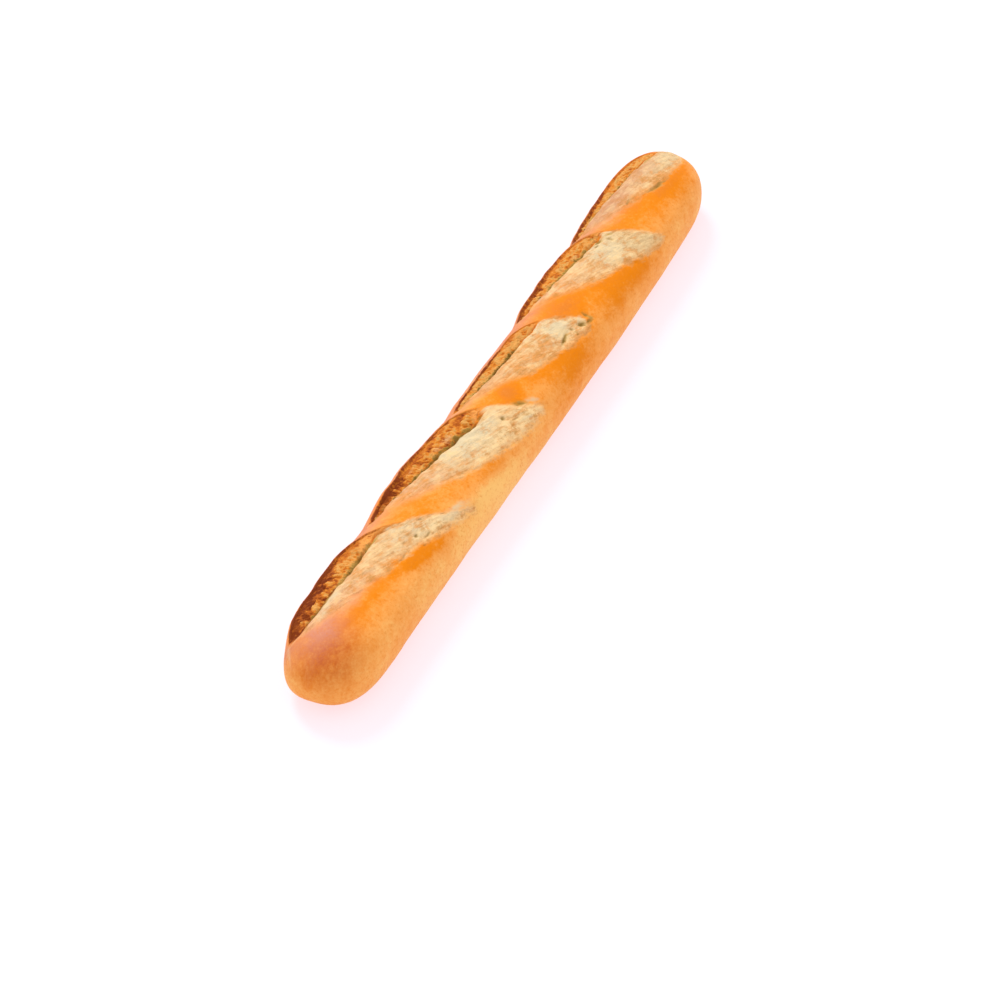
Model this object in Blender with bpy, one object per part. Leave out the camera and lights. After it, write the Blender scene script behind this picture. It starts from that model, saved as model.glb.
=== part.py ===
"""A whole baguette, as one closed solid, in metres, +Z up.

The loaf lies along X on its flat underside, with its origin at the middle of the base.
Five slanting slashes cross its crown. Each has opened into a leaf: a lifted ear at the back,
a torn wall that slopes down from the ear to a crack, and a pale risen band in front of it.

A place on the loaf is given by x, along it, and v, the way round it from the crest of the
plain section: minus to the back (+Y), plus to the front (-Y).
"""

import math
from dataclasses import dataclass

import bmesh
import bpy
import numpy as np

# The plain loaf, before the slashes opened.
LENGTH = 0.5710
BACK = 0.0276  # from the crest to the widest part of the back
FRONT = 0.0311  # and of the front
HEIGHT = 0.0445
WAIST_HEIGHT = 0.0190  # where the section is widest
CROWN_POWER = 2.15  # superellipse powers of the section above and below the waist
BASE_POWER = 2.7
BASE_SINK = 0.0009  # how much of the underside the baking tray has pressed flat

# Its ends.
NEAR_TIP = 0.050  # length of the rounded end at -X
FAR_TIP = 0.054  # and at +X
NEAR_BLUNT = 2.5  # superellipse powers of the two tips
FAR_BLUNT = 2.4
TIP_HEIGHT = 0.0185
BOW = 0.0026  # the middle stands this far to the front of the ends
NEAR_LEAN = 0.0050  # the near tip leans to the front, and the far one to the back
FAR_LEAN = 0.0050
NEAR_POWER = 3  # how late in each half the lean sets in
FAR_POWER = 4

# What a slash does to the crown.
SETTLE = 0.045  # share of its length in which its lines part
EAR_RISEN = 0.13  # share of its length where the ear has risen
EAR_SINKS = (0.40, 0.85)  # and the stretch over which it sinks to its end
EAR_LEFT = 0.28  # share of the lift that is left there
EAR_ENDS = (0.8, 1.0)
EAR_CLOSED = 0.5  # share of the lift that is left where the torn wall has closed up
JOIN = (0.06, 0.55)  # how far across the rim is, where the torn wall closes up
BAND_RISEN = 0.14  # share of its length where the band has swollen
BAND_SINKS = (0.72, 1.0)
BAND_PEAK = 0.7  # below 1, the band is highest near its back
CRACK_OPENS = (0.02, 0.10)
EAR_REACH = 0.0085  # how far behind the ear its lift dies away
EAR_CURVE = 1.5  # and how roundly
LIP = 0.0010  # the drop from the ear's rim to the torn wall
LIP_SHARE = 0.7  # the most of the ear's lift that this may be
WALL_LEAST = 0.0036  # how wide the torn wall stays where it runs on to the crown
CRACK_WIDTH = 0.0015
CRACK_CURVE = 1.8  # how square the crack is across
CRACK_CLOSES = (0.55, 0.80)
WALL_CURVE = 1.3  # how hollow the torn wall is
CLOSED_CURVE = 2  # and where it has closed up
WALL_SAG = 0.5  # share of the crack's depth that the wall sags at its foot
SAG_CURVE = 1.2
BAND_RISE = 0.0009  # how far the pale band swells
BAND_LEAST = 0.0012
BAND_SPREAD = 0.0030  # how much further the band's front edge reaches late in its length
SPREAD_FROM = (0.55, 0.80)
SPREAD_UNTIL = (0.92, 1.0)
CHEEK_MIDDLE = -0.0330  # v of the middle of the swelling behind an ear
CHEEK_REACH = 0.0170
CHEEK_BLUR = 0.25  # share of its length in which the swelling comes and goes

# The mesh.
RINGS = 96
AROUND = 50
OUTLINE_STEPS = 720
SLOPE_SHARE = 3.0  # how much closer the points of a ring lie on steep ground
CROWN_SHARE = 1.6  # and on the crown
CROWN_BACK = -0.040
CROWN_FRONT = 0.033
CROWN_BLUR = 0.010
STATION_STEPS = 4000
LEAST_REACH = 1e-9  # keeps two points of a ring apart

CRUST_COLOUR = (0.85, 0.38, 0.10, 1.0)
CRUST_ROUGHNESS = 0.55


@dataclass(frozen=True)
class Slash:
    """One opened slash, from its start at the back of the loaf to its end at the front."""

    start: float  # x
    end: float
    begin: float  # v of its start
    front: float  # v of its end
    rim: float  # v of the ear's rim along the back
    turn: float  # share of the length where the rim starts to cross the crown
    turned: float  # and where it would be all across
    crack: float  # v of the crack's first part
    drift: float  # how far the crack would move to the front over the whole length
    late: float  # the power that this comes in with: 1 evenly, less sooner, more later
    edge: float  # v of the pale band's front edge, as it starts to spread
    spread: float  # how fast the band spreads
    lift: float  # height of the ear over the plain loaf
    cheek: float  # how far the back swells behind it
    full: float  # share of the length that has passed when this begins to sink
    depth: float  # depth of the crack


SLASHES = (
    Slash(-0.270, -0.100, -0.029, 0.0300, -0.0275, 0.41, 0.99, -0.0140, 0.0065, 0.6, -0.008, 1.15,
          0.0036, 0.0006, 0.60, 0.0034),
    Slash(-0.160, 0.004, -0.022, 0.0290, -0.0225, 0.60, 1.00, -0.0220, 0.0330, 1.0, -0.030, 2.80,
          0.0032, 0.0024, 0.34, 0.0032),
    Slash(-0.045, 0.085, -0.020, 0.0210, -0.0205, 0.66, 1.06, -0.0175, 0.0155, 1.0, -0.028, 2.60,
          0.0019, 0.0002, 0.60, 0.0034),
    Slash(0.060, 0.199, -0.026, 0.0290, -0.0265, 0.60, 0.98, -0.0235, 0.0250, 1.0, -0.030, 2.30,
          0.0032, 0.0012, 0.50, 0.0032),
    Slash(0.150, 0.290, -0.026, 0.0115, -0.0275, 0.73, 1.09, -0.0265, 0.0260, 1.6, -0.028, 2.80,
          0.0032, 0.0010, 0.73, 0.0028),
)


def smoothstep(low, high, value):
    """0 below low, 1 above high, and a smooth rise between."""
    share = np.clip((value - low) / (high - low), 0.0, 1.0)
    return share * share * (3.0 - 2.0 * share)


def section_outline():
    """The plain section as (v, y, z), from the middle of the underside round the back."""
    turn = np.linspace(-math.pi, math.pi, OUTLINE_STEPS + 1)
    side, up = np.sin(turn), np.cos(turn)
    power = np.where(up > 0, CROWN_POWER, BASE_POWER)
    rise = np.where(up > 0, HEIGHT - WAIST_HEIGHT, WAIST_HEIGHT + BASE_SINK)
    reach = np.where(side < 0, BACK, FRONT)
    y = -reach * np.sign(side) * np.abs(side) ** (2 / power)
    z = WAIST_HEIGHT + rise * np.sign(up) * np.abs(up) ** (2 / power)
    v = np.concatenate([[0.0], np.cumsum(np.hypot(np.diff(y), np.diff(z)))])
    return v - v[OUTLINE_STEPS // 2], y, z


def outward_normals(y, z):
    """The section's unit normals, as (y, z)."""
    dy, dz = np.gradient(y), np.gradient(z)
    length = np.hypot(dy, dz)
    return dz / length, -dy / length


def fullness(x):
    """How full the section is at x: 1 along the loaf, falling to 0 at its two tips."""
    tip = np.where(x < 0, NEAR_TIP, FAR_TIP)
    blunt = np.where(x < 0, NEAR_BLUNT, FAR_BLUNT)
    into_tip = np.clip((np.abs(x) - (LENGTH / 2 - tip)) / tip, 0.0, 1.0)
    return (1.0 - into_tip**blunt) ** (1 / blunt)


def centreline(x):
    """y of the loaf's middle at x."""
    along = 2 * abs(x) / LENGTH
    lean = FAR_LEAN * along**FAR_POWER if x > 0 else -NEAR_LEAN * along**NEAR_POWER
    return lean - BOW * math.cos(math.pi * along / 2)


def stations():
    """Each ring's x, evenly spaced along the loaf's outline from tip to tip, the tips included."""
    x = LENGTH / 2 * np.sin(np.linspace(-math.pi / 2, math.pi / 2, STATION_STEPS + 1))
    radius = fullness(x) * FRONT
    along = np.concatenate([[0.0], np.cumsum(np.hypot(np.diff(x), np.diff(radius)))])
    return np.interp(np.linspace(0.0, along[-1], RINGS + 2), along, x)


def slash_lines(slash, x):
    """v of the ear's rim, the crack and the pale band's two edges, or None off the slash."""
    u = (x - slash.start) / (slash.end - slash.start)
    if not 0.0 < u < 1.0:
        return None
    begun = math.exp(-u / SETTLE)

    def settled(line):
        return line + (slash.begin - line) * begun

    rim = settled(slash.rim + (slash.front - slash.rim) * crossed(slash, u))
    crack = settled(slash.crack + slash.drift * u**slash.late)
    crack = max(crack, rim + WALL_LEAST * smoothstep(0.0, CRACK_OPENS[1], u))
    edge = settled(slash.edge + (slash.front - slash.edge) * (1.0 - (1.0 - u) ** slash.spread))
    edge = edge + BAND_SPREAD * smoothstep(*SPREAD_FROM, u) * (1.0 - smoothstep(*SPREAD_UNTIL, u))
    top = crack + (rim - crack) * joined(slash, u)
    return rim, crack, top, max(edge, crack + BAND_LEAST)


def crossed(slash, u):
    """How far across the crown the rim is, from 0 at the back to 1 at the front."""
    return smoothstep(slash.turn, slash.turned, u)


def joined(slash, u):
    """How far the torn wall has closed up, so that the band meets the rim: 1 where it has."""
    return smoothstep(*JOIN, crossed(slash, u))


def slash_relief(slash, x, v):
    """How far one slash moves the plain loaf's surface outwards at x, for each v round the ring."""
    lines = slash_lines(slash, x)
    if lines is None:
        return np.zeros_like(v)
    rim, crack, top, edge = lines
    u = (x - slash.start) / (slash.end - slash.start)
    closed = joined(slash, u)
    swell = smoothstep(0.0, BAND_RISEN, u) * (1.0 - smoothstep(*BAND_SINKS, u))
    lift = slash.lift * smoothstep(0.0, EAR_RISEN, u)
    lift = lift * (1.0 - (1.0 - EAR_LEFT) * smoothstep(*EAR_SINKS, u))
    lift = lift * (1.0 - smoothstep(*EAR_ENDS, u)) * (1.0 - (1.0 - EAR_CLOSED) * closed)
    lip = min(LIP, LIP_SHARE * lift)
    depth = slash.depth * smoothstep(*CRACK_OPENS, u) * (1.0 - smoothstep(*CRACK_CLOSES, u))
    depth = depth * (1.0 - closed)

    cheek = smoothstep(0.0, CHEEK_BLUR, u) * (1.0 - smoothstep(slash.full, slash.full + CHEEK_BLUR, u))
    cheek = slash.cheek * cheek * np.exp(-(((v - CHEEK_MIDDLE) / CHEEK_REACH) ** 2))
    behind = lift * np.exp(-(np.clip((rim - v) / EAR_REACH, 0.0, None) ** EAR_CURVE))
    down = np.clip((v - rim) / (crack - rim), 0.0, 1.0)
    wall = lift - lip * smoothstep(0.0, LIP, v - rim) - (lift - lip) * (1.0 - (1.0 - down) ** WALL_CURVE)
    wall = wall - WALL_SAG * depth * down**SAG_CURVE
    wall = wall + (lift * (1.0 - down) ** CLOSED_CURVE - wall) * closed
    over_band = np.clip((v - top) / (edge - top), 0.0, 1.0)
    band = BAND_RISE * np.sin(math.pi * over_band**BAND_PEAK) * swell
    relief = np.where(v < rim, behind, np.where(v < crack, wall, 0.0)) + np.where(v > rim, band, 0.0)
    return relief + cheek - depth * np.exp(-((np.abs(v - crack) / CRACK_WIDTH) ** CRACK_CURVE))


def ring(x, outline):
    """The points of the ring at x, from the middle of the underside round the back."""
    v, y, z = outline
    full = float(fullness(x))
    relief = sum(slash_relief(slash, x, v) for slash in SLASHES)
    out_y, out_z = outward_normals(y, z)
    y = full * (y + relief * out_y)
    z = TIP_HEIGHT + full * (z + relief * out_z - TIP_HEIGHT)
    steps = np.hypot(np.diff(y), np.diff(z))
    slope = np.clip(np.abs(np.diff(relief)) / np.diff(v), 0.0, 1.0)
    crown = smoothstep(CROWN_BACK - CROWN_BLUR, CROWN_BACK, v)
    crown = crown * (1.0 - smoothstep(CROWN_FRONT, CROWN_FRONT + CROWN_BLUR, v))
    weight = 1.0 + (SLOPE_SHARE - 1.0) * slope + (CROWN_SHARE - 1.0) * (crown[1:] + crown[:-1]) / 2
    reach = np.concatenate([[0.0], np.cumsum(steps * weight + LEAST_REACH)])
    wanted = np.linspace(0.0, reach[-1], AROUND, endpoint=False)
    for line in filter(None, (slash_lines(slash, x) for slash in SLASHES)):
        for feature in line[:2]:
            at = np.interp(feature, v, reach)
            wanted[np.argmin(np.abs(wanted - at))] = at
    ring_y = np.interp(wanted, reach, y) + centreline(x)
    ring_z = np.interp(wanted, reach, z)
    return np.column_stack([np.full(AROUND, x), ring_y, np.maximum(ring_z, 0.0)])


def loaf_mesh():
    """A sphere with its poles at the loaf's tips, moved ring by ring onto the loaf."""
    sphere = bmesh.new()
    bmesh.ops.create_uvsphere(sphere, u_segments=AROUND, v_segments=RINGS + 1, radius=1.0)
    outline = section_outline()
    rings = [ring(x, outline) for x in stations()]
    for vertex in sphere.verts:
        polar = math.acos(max(-1.0, min(1.0, vertex.co.z)))
        row = round(polar / math.pi * (RINGS + 1))
        column = round(math.atan2(vertex.co.y, vertex.co.x) / math.tau * AROUND) % AROUND
        vertex.co = rings[row][column]
    sphere.normal_update()
    bmesh.ops.recalc_face_normals(sphere, faces=sphere.faces)
    mesh = bpy.data.meshes.new("baguette")
    sphere.to_mesh(mesh)
    sphere.free()
    return mesh


def centre_on_base(mesh):
    """Moves the mesh so that the origin is at the middle of its base."""
    corners = np.array([vertex.co for vertex in mesh.vertices])
    low, high = corners.min(axis=0), corners.max(axis=0)
    shift = np.array([-(low[0] + high[0]) / 2, -(low[1] + high[1]) / 2, -low[2]])
    mesh.vertices.foreach_set("co", (corners + shift).ravel())
    mesh.update()


def crust_material():
    material = bpy.data.materials.new("crust")
    material.use_nodes = True
    shader = material.node_tree.nodes["Principled BSDF"]
    shader.inputs["Base Color"].default_value = CRUST_COLOUR
    shader.inputs["Roughness"].default_value = CRUST_ROUGHNESS
    shader.inputs["Metallic"].default_value = 0.0
    return material


def main():
    for old in list(bpy.data.objects):
        bpy.data.objects.remove(old)
    parts = bpy.data.collections.new("Baguette")
    bpy.context.scene.collection.children.link(parts)
    mesh = loaf_mesh()
    centre_on_base(mesh)
    mesh.materials.append(crust_material())
    mesh.shade_smooth()
    parts.objects.link(bpy.data.objects.new("baguette", mesh))


main()
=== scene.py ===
"""The looks of a baguette: its baked crust, the torn crumb in its five opened slashes, and a
white studio round it.

A place on the loaf is given by x, along it, and v, the way round it from the crest of the plain
section: minus to the back (+Y), plus to the front (-Y). Sizes are in metres.
"""

import math
from typing import NamedTuple

import bmesh
import bpy
import numpy as np
from bpy.props import FloatProperty, FloatVectorProperty, PointerProperty
from mathutils import Matrix, Vector, noise


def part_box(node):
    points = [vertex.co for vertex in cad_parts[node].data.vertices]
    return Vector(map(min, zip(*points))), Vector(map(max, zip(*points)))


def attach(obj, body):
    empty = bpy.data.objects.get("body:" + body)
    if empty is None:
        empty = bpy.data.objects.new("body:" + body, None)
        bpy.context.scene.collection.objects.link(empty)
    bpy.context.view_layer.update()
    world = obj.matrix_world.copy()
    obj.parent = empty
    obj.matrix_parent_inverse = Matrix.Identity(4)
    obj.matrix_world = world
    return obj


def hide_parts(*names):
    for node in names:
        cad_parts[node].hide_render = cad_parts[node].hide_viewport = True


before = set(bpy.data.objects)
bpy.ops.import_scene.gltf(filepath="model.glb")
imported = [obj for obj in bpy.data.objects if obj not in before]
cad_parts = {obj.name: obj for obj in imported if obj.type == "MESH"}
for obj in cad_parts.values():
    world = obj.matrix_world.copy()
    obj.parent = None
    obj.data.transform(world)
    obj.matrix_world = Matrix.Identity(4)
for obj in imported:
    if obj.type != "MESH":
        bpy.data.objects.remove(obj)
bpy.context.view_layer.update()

bl_info = {
    "name": "Baguette",
    "version": (1, 0, 0),
    "blender": (4, 5, 0),
    "location": "3D View > Sidebar > Baguette",
    "description": "Builds a baked baguette with opened slashes, and a white studio for it",
    "category": "Object",
}

NODE = "baguette"
LOW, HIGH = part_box(NODE)

# The mesh of the crust.
RINGS = 570
AROUND = 168
OUTLINE_STEPS = 1440
STATION_STEPS = 8001
CROWN_SHARE = 3.2  # how much closer a ring's points lie on the crown than on the underside
LEAF_SHARE = 2.6  # and how much more at an ear's rim and at a crack
LINE_BLUR = 0.0022  # how far from their lines this reaches
CRACK_FOOT = 0.0006  # how far in front of its line a crack's middle is
CROWN_BACK = -0.038
CROWN_FRONT = 0.034
CROWN_BLUR = 0.008

# The mesh of the torn crumb in one slash.
TEAR_STEP = 0.00042  # along the loaf
TEAR_TOP = 46  # points across it
TEAR_BOTTOM = 8
TEAR_START = 0.012  # shares of the slash's length where the mesh starts and ends
TEAR_END = 0.86
TEAR_THICK = 0.0032
TIP_CLEAR = 0.0005  # how far the mesh stays from the loaf's tips

# The plain section.
CROWN_POWER = 2.15  # superellipse powers above and below the widest part
BASE_POWER = 2.7
BASE_SINK = 0.0009  # how much of the underside the baking tray has pressed flat
NEAR_BLUNT = 2.5  # superellipse powers of the two tips
FAR_BLUNT = 2.4
NEAR_POWER = 3  # how late in each half the lean sets in
FAR_POWER = 4

# What a slash does to the crown.
SETTLE = 0.045  # share of its length in which its lines part
EAR_REACH = 0.0085  # how far behind the ear its lift dies away
LIP = 0.0010  # thickness of the crust at the ear's rim
LIP_LEAN = 0.0011  # how far the rim leans out over the crumb
WALL_LEAST = 0.0036
WALL_SINK = 0.0014  # how far the crumb's own mesh stands over the loaf's
BAND_RISE = 0.0009
BAND_LEAST = 0.0012
BAND_BULGE = 0.0030  # how much further the band spreads on the crown
OLIVE_SINK = 0.0007  # how deep the olive folds lie
WARPED_WIDTH = 0.004  # narrower patches are bent less
CENTIMETRE = 0.01
CRACK_END = 0.70
CHEEK_MIDDLE = -0.0330
CHEEK_REACH = 0.0170

NEAR_BROWN = (-0.272, -0.0105, 0.0400)  # the middle of the near end's browned patch
NEAR_BROWN_REACH = 0.0195

RELIEF_DEPTH = 0.00045  # of the finishes' fine relief
GLOSS = 0.04
FLOOR_ROUGHNESS = 0.9
KEY_FROM = (0.46, 0.54, 0.71)  # the way to the main light
FLOOR_SIZE = 30.0
SENSOR = 36.0  # of the camera, in millimetres
FAR_CLIP = 50.0


class Slash(NamedTuple):
    """One opened slash, from its start at the back of the loaf to its end at the front."""

    start: float  # x
    end: float
    begin: float  # v of its start
    front: float  # v of its end
    rim: float  # v of the ear's rim along the back
    turn: float  # share of the length where the rim starts to cross the crown
    turned: float  # and where it would be all across
    crack: float  # v of the crack's first part
    drift: float  # how far the crack would move to the front over the whole length
    late: float  # the power that this comes in with: 1 evenly, less sooner, more later
    edge: float  # v of the pale band's front edge, as it starts to spread
    spread: float  # how fast the band spreads
    lift: float  # height of the ear over the plain loaf
    cheek: float  # how far the back swells behind it
    full: float  # share of the length that has passed when this begins to sink
    depth: float  # depth of the crack
    char: float  # how dark the ear and its crumb are baked
    burnt: float  # share of the length where its darkest part ends
    tan: float  # how brown the rest of the crumb is
    pale: float  # share of the length where the band is palest
    took: float  # how much colour the band took
    grey: float  # how grey the band is near its end


SLASHES = (
    Slash(-0.270, -0.100, -0.029, 0.030, -0.0275, 0.41, 0.99, -0.0140, 0.0065, 0.6, -0.008, 1.15,
          0.0036, 0.0006, 0.60, 0.0034, 1.00, 0.45, 0.00, 0.74, 0.35, 0.00),
    Slash(-0.160, 0.004, -0.022, 0.029, -0.0225, 0.60, 1.00, -0.0220, 0.0330, 1.0, -0.030, 2.80,
          0.0032, 0.0024, 0.34, 0.0032, 0.85, 0.36, 0.90, 0.56, 0.20, 0.00),
    Slash(-0.045, 0.085, -0.020, 0.021, -0.0205, 0.66, 1.06, -0.0175, 0.0155, 1.0, -0.028, 2.60,
          0.0019, 0.0002, 0.60, 0.0034, 0.40, 0.30, 0.15, 0.82, 0.80, 0.10),
    Slash(0.060, 0.199, -0.026, 0.029, -0.0265, 0.60, 0.98, -0.0235, 0.0250, 1.0, -0.030, 2.30,
          0.0032, 0.0012, 0.50, 0.0032, 0.50, 0.45, 0.35, 0.66, 0.35, 0.80),
    Slash(0.150, 0.290, -0.026, 0.0115, -0.0275, 0.73, 1.09, -0.0265, 0.0260, 1.6, -0.028, 2.80,
          0.0032, 0.0010, 0.73, 0.0028, 0.45, 0.46, 0.10, 0.82, 0.80, 0.45),
)


class Pit(NamedTuple):
    """A small hole or fold in a band, where its skin broke."""

    x: float
    v: float
    long: float
    wide: float
    turn: float  # angle of its length, from x towards v
    depth: float


PITS = (
    Pit(-0.1810, 0.0130, 0.0065, 0.0008, 0.10, 0.0006),
    Pit(-0.1600, 0.0115, 0.0015, 0.0011, 0.30, 0.0011),
    Pit(-0.1540, 0.0168, 0.0032, 0.0009, 0.10, 0.0008),
    Pit(-0.1620, 0.0190, 0.0018, 0.0007, 0.20, 0.0006),
    Pit(-0.1465, 0.0087, 0.0022, 0.0007, 0.60, 0.0006),
    Pit(-0.1335, 0.0175, 0.0024, 0.0006, 0.50, 0.0005),
    Pit(-0.2200, 0.0045, 0.0035, 0.0006, 0.15, 0.0004),
    Pit(-0.0440, 0.0005, 0.0020, 0.0012, 0.20, 0.0010),
    Pit(-0.0380, 0.0125, 0.0016, 0.0013, 0.00, 0.0010),
    Pit(-0.0310, 0.0195, 0.0038, 0.0007, 0.35, 0.0006),
    Pit(-0.0185, 0.0155, 0.0050, 0.0011, 0.75, 0.0008),
    Pit(0.0255, -0.0055, 0.0018, 0.0006, 1.40, 0.0005),
    Pit(0.0515, 0.0145, 0.0052, 0.0012, -0.15, 0.0011),
    Pit(0.0635, 0.0150, 0.0015, 0.0010, 0.60, 0.0009),
    Pit(0.0630, 0.0198, 0.0012, 0.0008, 0.00, 0.0007),
    Pit(0.0725, 0.0180, 0.0030, 0.0014, 0.55, 0.0012),
    Pit(0.0800, 0.0210, 0.0026, 0.0010, 0.20, 0.0010),
    Pit(0.0820, 0.0160, 0.0024, 0.0009, 1.30, 0.0009),
    Pit(0.1470, -0.0035, 0.0020, 0.0009, 1.10, 0.0010),
    Pit(0.1535, -0.0050, 0.0028, 0.0014, -0.20, 0.0012),
    Pit(0.1580, 0.0015, 0.0026, 0.0008, 1.20, 0.0008),
    Pit(0.1700, 0.0070, 0.0030, 0.0007, 0.80, 0.0005),
    Pit(0.2025, -0.0030, 0.0040, 0.0011, -0.20, 0.0007),
    Pit(0.2280, 0.0078, 0.0120, 0.0013, 0.28, 0.0008),
)


class Patch(NamedTuple):
    """A place that is browner, paler, greener, pinker or duller than the rest. The oven left the browner and
    paler ones; the greener ones are partly painted shade in folds, the pinker ones painted sheen and painted
    shade, and the duller ones painted shade.
    """

    x: float
    v: float
    long: float
    wide: float
    turn: float
    share: float  # how much it differs in its middle


BAKED = (
    Patch(-0.228, 0.0115, 0.032, 0.0042, 0.10, 0.60),
    Patch(-0.188, 0.0085, 0.013, 0.0030, 0.25, 0.80),
    Patch(-0.170, 0.0215, 0.034, 0.0064, 0.22, 0.95),
    Patch(-0.150, 0.0120, 0.009, 0.0020, 0.60, 0.45),
    Patch(-0.100, 0.0040, 0.010, 0.0022, 0.40, 0.50),
    Patch(-0.086, 0.0095, 0.015, 0.0032, 0.35, 0.60),
    Patch(-0.075, 0.0265, 0.036, 0.0050, 0.16, 0.55),
    Patch(-0.028, 0.0060, 0.006, 0.0022, 0.30, 0.40),
    Patch(-0.014, 0.0060, 0.009, 0.0080, 0.50, 1.00),
    Patch(0.038, 0.0225, 0.027, 0.0072, 0.18, 1.00),
    Patch(0.020, 0.0060, 0.010, 0.0024, 0.60, 0.50),
    Patch(0.083, 0.0030, 0.019, 0.0078, 0.30, 0.90),
    Patch(0.138, 0.0215, 0.036, 0.0066, 0.20, 1.15),
    Patch(0.120, 0.0020, 0.012, 0.0020, 0.50, 0.45),
    Patch(0.2030, -0.0010, 0.011, 0.0030, 0.35, 0.95),
    Patch(0.236, 0.0150, 0.032, 0.0050, 0.12, 0.95),
    Patch(-0.235, 0.0200, 0.050, 0.0160, 0.00, 0.34),
    Patch(0.040, 0.0280, 0.046, 0.0150, 0.05, 0.86),
    Patch(0.130, 0.0248, 0.052, 0.0115, 0.05, 1.05),
    Patch(0.235, 0.0200, 0.040, 0.0120, 0.00, 0.65),
    Patch(0.035, 0.0410, 0.055, 0.0060, 0.00, 0.55),
    Patch(-0.255, 0.0380, 0.040, 0.0090, 0.00, 0.15),
    Patch(0.078, 0.0030, 0.024, 0.0170, 0.40, 0.70),
    Patch(0.188, 0.0020, 0.016, 0.0130, 0.40, 0.35),
    Patch(0.062, 0.0190, 0.020, 0.0060, 0.20, 0.70),
    Patch(0.032, 0.0080, 0.018, 0.0050, 0.25, 0.60),
    Patch(0.040, -0.0205, 0.014, 0.0040, 0.10, 0.95),
    Patch(-0.263, -0.0205, 0.012, 0.0050, 0.05, 0.60),
    Patch(-0.142, -0.0205, 0.012, 0.0040, 0.10, 0.80),
    Patch(-0.180, -0.0205, 0.014, 0.0040, 0.10, 0.70),
    Patch(0.262, -0.0205, 0.014, 0.0040, 0.10, 0.45),
    Patch(0.160, -0.0040, 0.014, 0.0050, 0.30, 0.45),
)
FADED = (
    Patch(-0.1825, 0.0130, 0.009, 0.0013, 0.12, 0.40),
    Patch(-0.236, -0.0085, 0.026, 0.0036, 0.03, 0.55),
    Patch(-0.2725, -0.0262, 0.0090, 0.0042, -0.15, 0.50),
    Patch(-0.126, 0.0215, 0.018, 0.0048, 0.25, 0.72),
    Patch(0.190, -0.0120, 0.008, 0.0060, 0.20, 0.35),
    Patch(0.180, -0.0050, 0.015, 0.0090, 0.35, 0.36),
    Patch(-0.064, 0.0020, 0.018, 0.0050, 0.25, 0.80),
    Patch(-0.070, -0.0105, 0.006, 0.0032, 0.30, 0.70),
    Patch(-0.081, -0.0125, 0.005, 0.0022, 0.35, 0.55),
    Patch(-0.104, -0.0170, 0.008, 0.0018, 0.30, 0.45),
    Patch(0.136, -0.0140, 0.006, 0.0018, 0.25, 0.45),
    Patch(-0.024, 0.0240, 0.010, 0.0018, 0.30, 0.55),
    Patch(-0.0095, 0.0195, 0.006, 0.0028, 0.60, 0.75),
    Patch(0.059, 0.0060, 0.009, 0.0042, 0.50, 0.90),
    Patch(0.0757, 0.0145, 0.0036, 0.0020, 0.20, 0.80),
    Patch(0.150, 0.0060, 0.016, 0.0050, 0.50, 0.40),
)
# Olive places: folds and hollows, sunk a little, whose olive colour is partly painted shade.
OLIVE_AND_FOLD_SHADE = (
    Patch(-0.018, 0.0150, 0.0062, 0.0026, 0.75, 0.80),
    Patch(0.052, 0.0145, 0.0066, 0.0018, -0.15, 0.80),
    Patch(0.063, 0.0175, 0.0032, 0.0015, 1.30, 0.55),
    Patch(0.0735, 0.0180, 0.0044, 0.0022, 0.60, 0.90),
    Patch(0.0825, 0.0190, 0.0042, 0.0016, 1.20, 0.80),
    Patch(0.1525, -0.0045, 0.0050, 0.0022, 0.30, 1.00),
    Patch(0.1570, -0.0105, 0.0045, 0.0013, 0.70, 0.85),
    Patch(0.1632, -0.0010, 0.0050, 0.0011, 0.40, 0.85),
    Patch(-0.0440, 0.0030, 0.0040, 0.0012, 0.30, 0.70),
    Patch(0.2275, 0.0092, 0.0095, 0.0014, 0.20, 0.60),
    Patch(-0.2310, -0.0120, 0.0050, 0.0013, 0.05, 0.85),
    Patch(-0.2150, -0.0114, 0.0060, 0.0019, 0.00, 0.95),
    Patch(-0.1960, -0.0110, 0.0085, 0.0018, 0.05, 1.00),
    Patch(-0.1760, -0.0090, 0.0085, 0.0014, 0.30, 1.00),
    Patch(-0.1110, -0.0105, 0.0065, 0.0014, 0.15, 0.80),
    Patch(-0.0950, -0.0080, 0.0060, 0.0016, 0.10, 0.90),
    Patch(-0.0570, -0.0015, 0.0055, 0.0026, 0.30, 1.00),
    Patch(-0.0190, -0.0150, 0.0060, 0.0015, 0.40, 0.90),
    Patch(-0.0060, -0.0128, 0.0090, 0.0026, 0.08, 1.00),
    Patch(0.0110, -0.0105, 0.0050, 0.0015, 0.05, 0.90),
    Patch(0.0260, -0.0095, 0.0050, 0.0013, 0.05, 0.80),
    Patch(0.1000, -0.0170, 0.0070, 0.0022, 0.25, 0.90),
    Patch(0.1190, -0.0136, 0.0095, 0.0024, 0.15, 1.10),
    Patch(0.1385, -0.0102, 0.0085, 0.0018, 0.12, 0.95),
    Patch(0.1880, -0.0245, 0.0065, 0.0020, 0.30, 0.90),
    Patch(0.2010, -0.0230, 0.0060, 0.0018, 0.35, 0.85),
    Patch(0.2420, -0.0120, 0.0022, 0.0028, 0.30, 0.85),
    Patch(0.2540, -0.0094, 0.0090, 0.0015, 0.10, 0.95),
)
# Pinker places: painted sheen at the near end and by the first slashes, and painted shade on the far slash's
# band.
ROSY_SHEEN_AND_SHADE = (
    Patch(-0.258, -0.0040, 0.017, 0.0125, 0.00, 0.95),
    Patch(-0.230, 0.0020, 0.030, 0.0046, 0.06, 0.60),
    Patch(-0.120, 0.0000, 0.014, 0.0030, 0.35, 0.40),
    Patch(0.212, -0.0120, 0.034, 0.0080, 0.10, 1.20),
    Patch(0.238, -0.0055, 0.024, 0.0062, 0.15, 1.00),
)
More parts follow.
